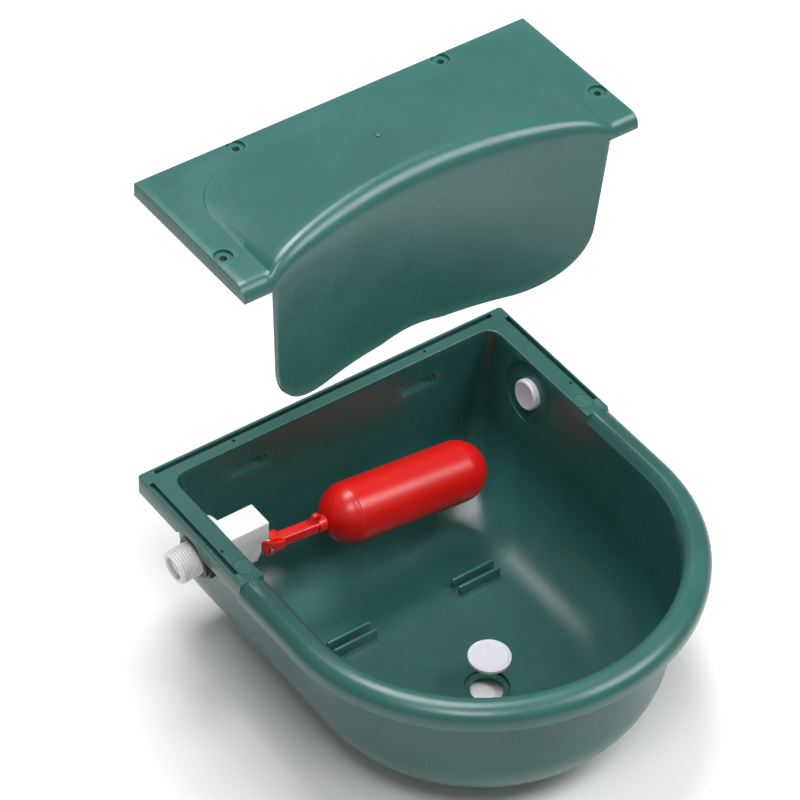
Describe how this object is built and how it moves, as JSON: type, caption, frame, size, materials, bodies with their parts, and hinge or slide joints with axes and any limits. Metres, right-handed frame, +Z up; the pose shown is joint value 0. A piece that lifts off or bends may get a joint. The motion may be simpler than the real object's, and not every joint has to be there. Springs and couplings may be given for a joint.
{
  "type": "automatic float drinking bowl",
  "caption": "D-shaped wall drinking bowl with a float valve at its side, a lift-off cover over the valve, a drain plug and a blanking plug.",
  "frame": {"origin": "centre of the flange's flat back face, on the symmetry plane, 6.5 mm below the plane that the cover sits on", "axes": "+X along the wall to the right as seen from the front, +Y into the wall, +Z up"},
  "size_m": [0.2732, 0.281, 0.3484],
  "materials": {
    "green_plastic": "moulded dark green plastic with a soft sheen",
    "white_plastic": "moulded white plastic",
    "red_plastic": "moulded glossy red plastic",
    "natural_plastic": "soft milky white plastic",
    "black_plastic": "moulded black plastic",
    "rubber": "plain black rubber",
    "steel": "plain stainless pin",
    "brass": "turned brass"
  },
  "bodies": {
    "bowl": {"bowl": "green_plastic", "valve_body": "white_plastic", "seat_nozzle": "brass", "nozzle_o_ring": "rubber", "inlet_strainer": "white_plastic", "pivot_pin": "steel", "flange_gasket": "rubber", "outer_washer": "black_plastic", "lock_nut": "black_plastic"},
    "cover": {"cover": "green_plastic"},
    "drain_plug": {"drain_plug": "natural_plastic"},
    "side_plug": {"side_plug": "natural_plastic"},
    "lever": {"lever_arm": "red_plastic", "float_cap": "red_plastic", "float_shell": "red_plastic"},
    "plunger": {"plunger": "white_plastic", "plunger_seal": "rubber"}
  },
  "joints": [
    {"name": "cover_lift", "type": "slide", "parent": "bowl", "child": "cover", "axis": [0, 0, 1], "range_m": [-0.21, 0]},
    {"name": "drain_plug_pull", "type": "slide", "parent": "bowl", "child": "drain_plug", "axis": [0, 0, 1], "range_m": [-0.0257, 0]},
    {"name": "side_plug_pull", "type": "slide", "parent": "bowl", "child": "side_plug", "axis": [0.9945, 0, -0.1045], "range_m": [0, 0.03]},
    {"name": "float_swing", "type": "hinge", "parent": "bowl", "child": "lever", "pos_m": [-0.077, -0.053, -0.035], "axis": [0, -1, 0], "range_deg": [0, 15]},
    {"name": "plunger_push", "type": "slide", "parent": "bowl", "child": "plunger", "axis": [-1, 0, 0], "range_m": [0, 0.0049]}
  ],
  "couplings": [
    {"joint": "plunger_push", "follows": "float_swing", "m_per_rad": 0.0184}
  ]
}
